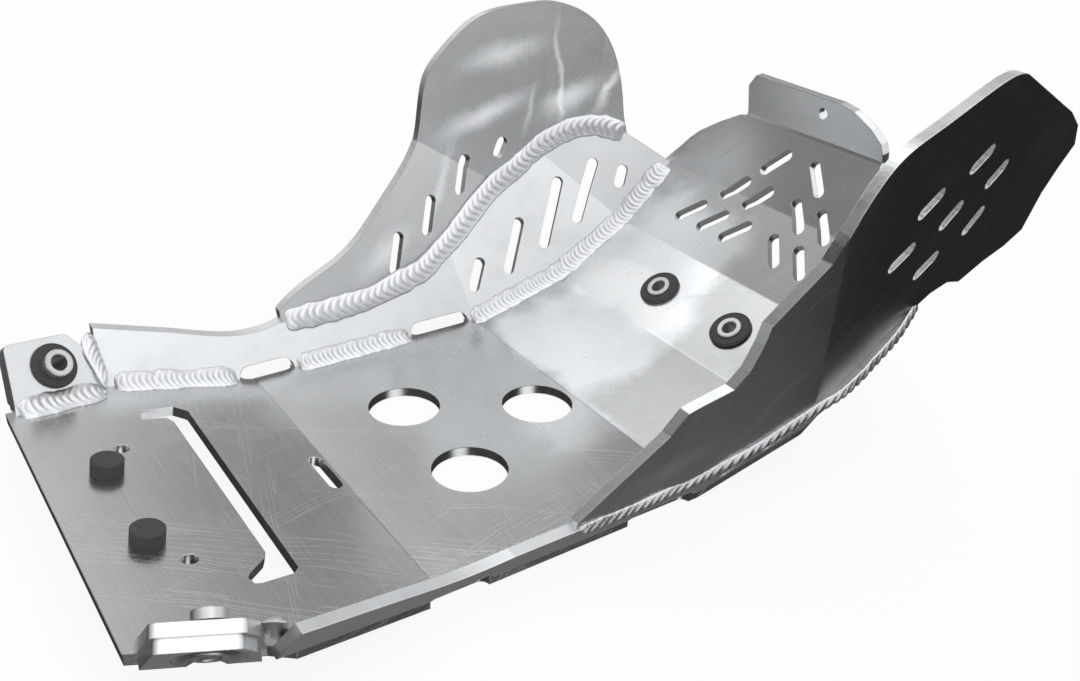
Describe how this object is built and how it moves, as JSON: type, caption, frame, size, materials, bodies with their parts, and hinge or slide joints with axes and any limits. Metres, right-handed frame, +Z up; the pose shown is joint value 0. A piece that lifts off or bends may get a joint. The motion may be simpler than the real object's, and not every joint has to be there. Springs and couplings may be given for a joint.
{
  "type": "motorcycle skid plate",
  "caption": "Folded and welded aluminium skid plate with flared side wings, slotted nose, upright rear mounting tabs, rubber grommets and buffers.",
  "frame": {"origin": "middle of the underside of the flat floor facet of the base plate", "axes": "+X forward towards the nose, +Y to the left, +Z up; the floor facet rests on z = 0"},
  "size_m": [0.3878, 0.2958, 0.1874],
  "materials": {
    "base_sheet": "brushed, scuffed",
    "wall_sheet": "bright mill finish",
    "wing_sheet": "brushed, polished along the edges",
    "tab_sheet": "bright mill finish",
    "weld_bead": "rippled weld metal",
    "rubber_grommet": "matt black moulded",
    "rubber_buffer": "matt black moulded",
    "steel_sleeve": "turned, zinc bright"
  },
  "bodies": {
    "root": {"base_plate": "base_sheet", "left_side_wall": "wall_sheet", "right_side_wall": "wall_sheet", "left_wing": "wing_sheet", "right_wing": "wing_sheet", "left_rear_tab": "tab_sheet", "right_rear_tab": "tab_sheet", "left_tab_doubler": "tab_sheet", "right_tab_doubler": "tab_sheet", "left_tab_base_weld": "weld_bead", "right_tab_base_weld": "weld_bead", "left_tab_wall_weld": "weld_bead", "right_tab_wall_weld": "weld_bead", "left_lower_weld_rear": "weld_bead", "right_lower_weld_rear": "weld_bead", "left_lower_weld_middle": "weld_bead", "right_lower_weld_middle": "weld_bead", "left_lower_weld_front": "weld_bead", "right_lower_weld_front": "weld_bead", "left_wing_weld": "weld_bead", "right_wing_weld": "weld_bead", "left_wing_outer_weld": "weld_bead", "right_wing_outer_weld": "weld_bead", "left_tab_grommet": "rubber_grommet", "right_tab_grommet": "rubber_grommet", "left_front_grommet": "rubber_grommet", "right_front_grommet": "rubber_grommet", "left_tab_sleeve": "steel_sleeve", "right_tab_sleeve": "steel_sleeve", "left_front_sleeve": "steel_sleeve", "right_front_sleeve": "steel_sleeve", "left_buffer": "rubber_buffer", "right_buffer": "rubber_buffer"}
  },
  "joints": []
}
